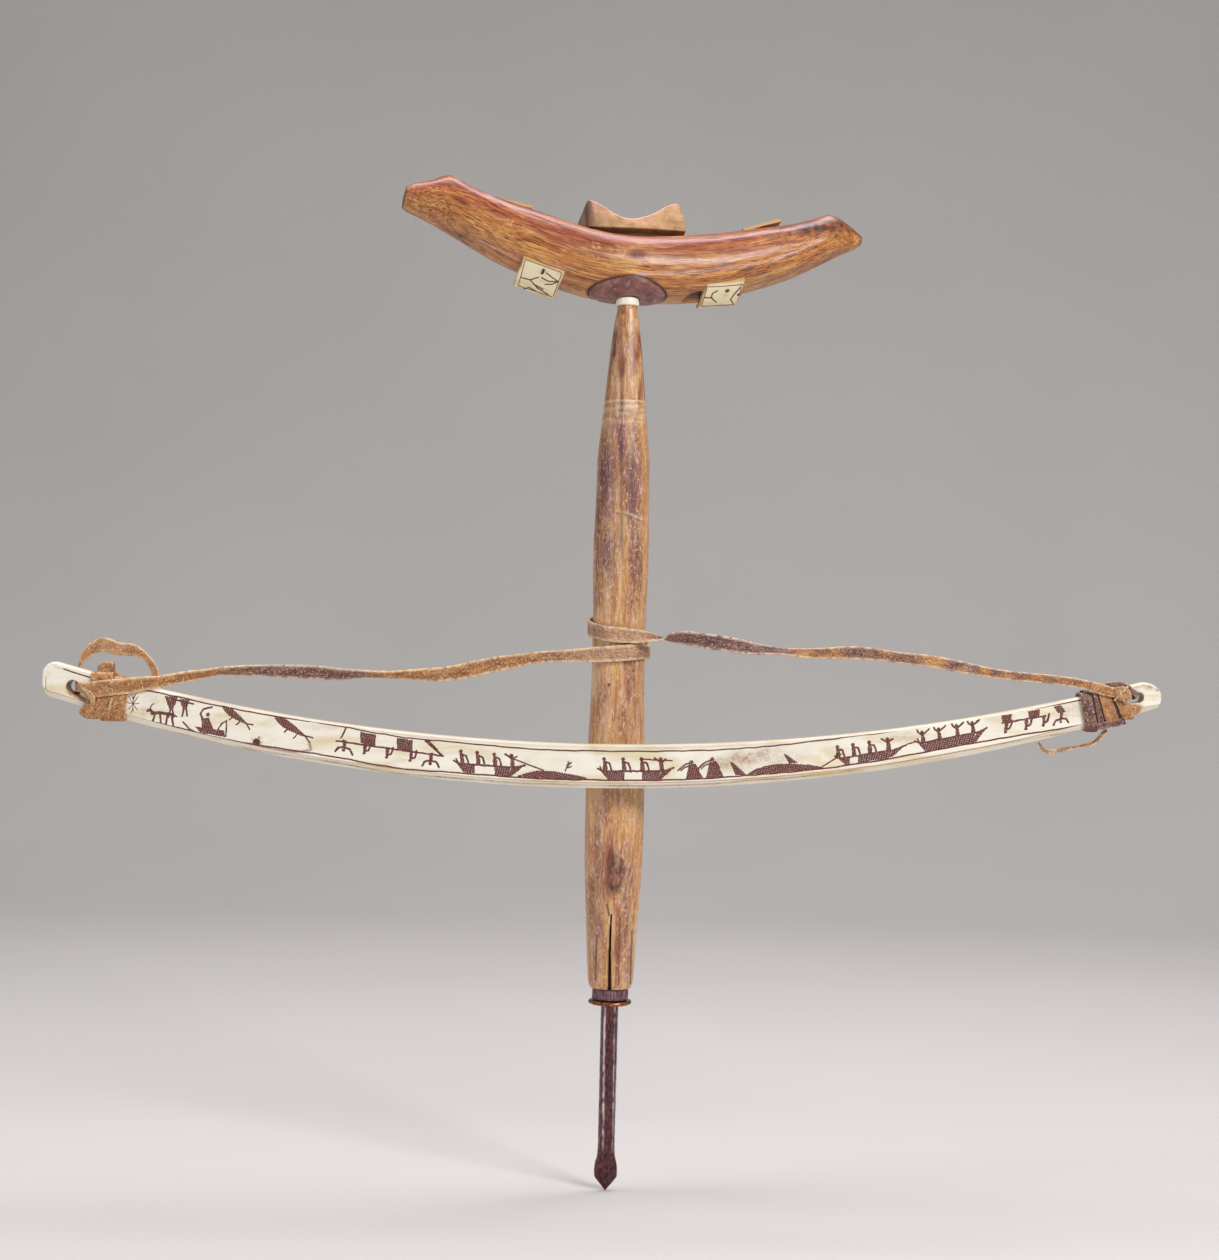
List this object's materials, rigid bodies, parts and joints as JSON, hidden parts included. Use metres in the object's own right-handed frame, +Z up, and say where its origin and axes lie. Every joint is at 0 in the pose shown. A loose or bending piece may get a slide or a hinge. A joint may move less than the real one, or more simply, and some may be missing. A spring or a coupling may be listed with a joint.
{
  "type": "bow drill",
  "caption": "Hand drill turned by a thong on a curved flat bow and pressed down by a mouthpiece with a bite block and a stone socket.",
  "frame": {"origin": "point of the bit, on the spindle's axis", "axes": "+Z up along the spindle, +X along the bow from the looped end to the lashed end, -Y towards the bow's engraved face"},
  "size_m": [0.4101, 0.0644, 0.3767],
  "materials": {
    "spindle_wood": "handled, waxy",
    "pivot_ivory": "polished",
    "binding": "matte",
    "brass": "worn",
    "iron": "dark, pitted",
    "rawhide": "dried, translucent",
    "lashing_hide": "dried",
    "bow_ivory": "satin, engraved",
    "arch_wood": "polished by handling",
    "stone": "satin",
    "block_wood": "satin",
    "plaque_ivory": "satin, engraved",
    "peg_wood": "matte"
  },
  "bodies": {
    "thong_wrap": {"thong_turn": "rawhide"},
    "drill": {"spindle": "spindle_wood", "ivory_pivot": "pivot_ivory", "bit_binding": "binding", "brass_ring": "brass", "iron_bit": "iron"},
    "mouthpiece": {"mouthpiece_arch": "arch_wood", "stone_socket": "stone", "bite_block": "block_wood", "under_plaque_left": "plaque_ivory", "under_plaque_right": "plaque_ivory", "top_plaque_left": "plaque_ivory", "top_plaque_right": "plaque_ivory", "plaque_pegs": "peg_wood", "plaque_nail": "iron"},
    "thong": {"thong_left_run": "rawhide", "thong_right_run": "rawhide"},
    "bow": {"bow": "bow_ivory", "left_wrap_outer": "lashing_hide", "left_wrap_inner": "lashing_hide", "left_loop": "rawhide", "left_tab": "rawhide", "thong_left_end": "rawhide", "thong_right_end": "rawhide", "right_lashing": "lashing_hide", "right_knot": "rawhide", "right_over_strap": "rawhide", "right_tail": "rawhide"}
  },
  "joints": [
    {"name": "drill_spin", "type": "hinge", "parent": "thong_wrap", "child": "drill", "pos_m": [0, 0, 0], "axis": [0, 0, 1], "range_deg": [-420, 420]},
    {"name": "mouthpiece_lift", "type": "slide", "parent": "thong_wrap", "child": "mouthpiece", "axis": [0, 0, 1], "range_m": [0, 0.06]},
    {"name": "bow_stroke", "type": "slide", "parent": "thong_wrap", "child": "thong", "axis": [1, 0, 0], "range_m": [-0.078, 0.078], "deforming": ["thong_left_run", "thong_right_run"]},
    {"name": "bow_roll", "type": "hinge", "parent": "thong", "child": "bow", "pos_m": [-0.18, -0.0192, 0.1857], "axis": [-0.9999, 0, -0.0168], "range_deg": [0, 90]}
  ],
  "couplings": [
    {"joint": "drill_spin", "follows": "bow_stroke", "rad_per_m": 92.166}
  ]
}
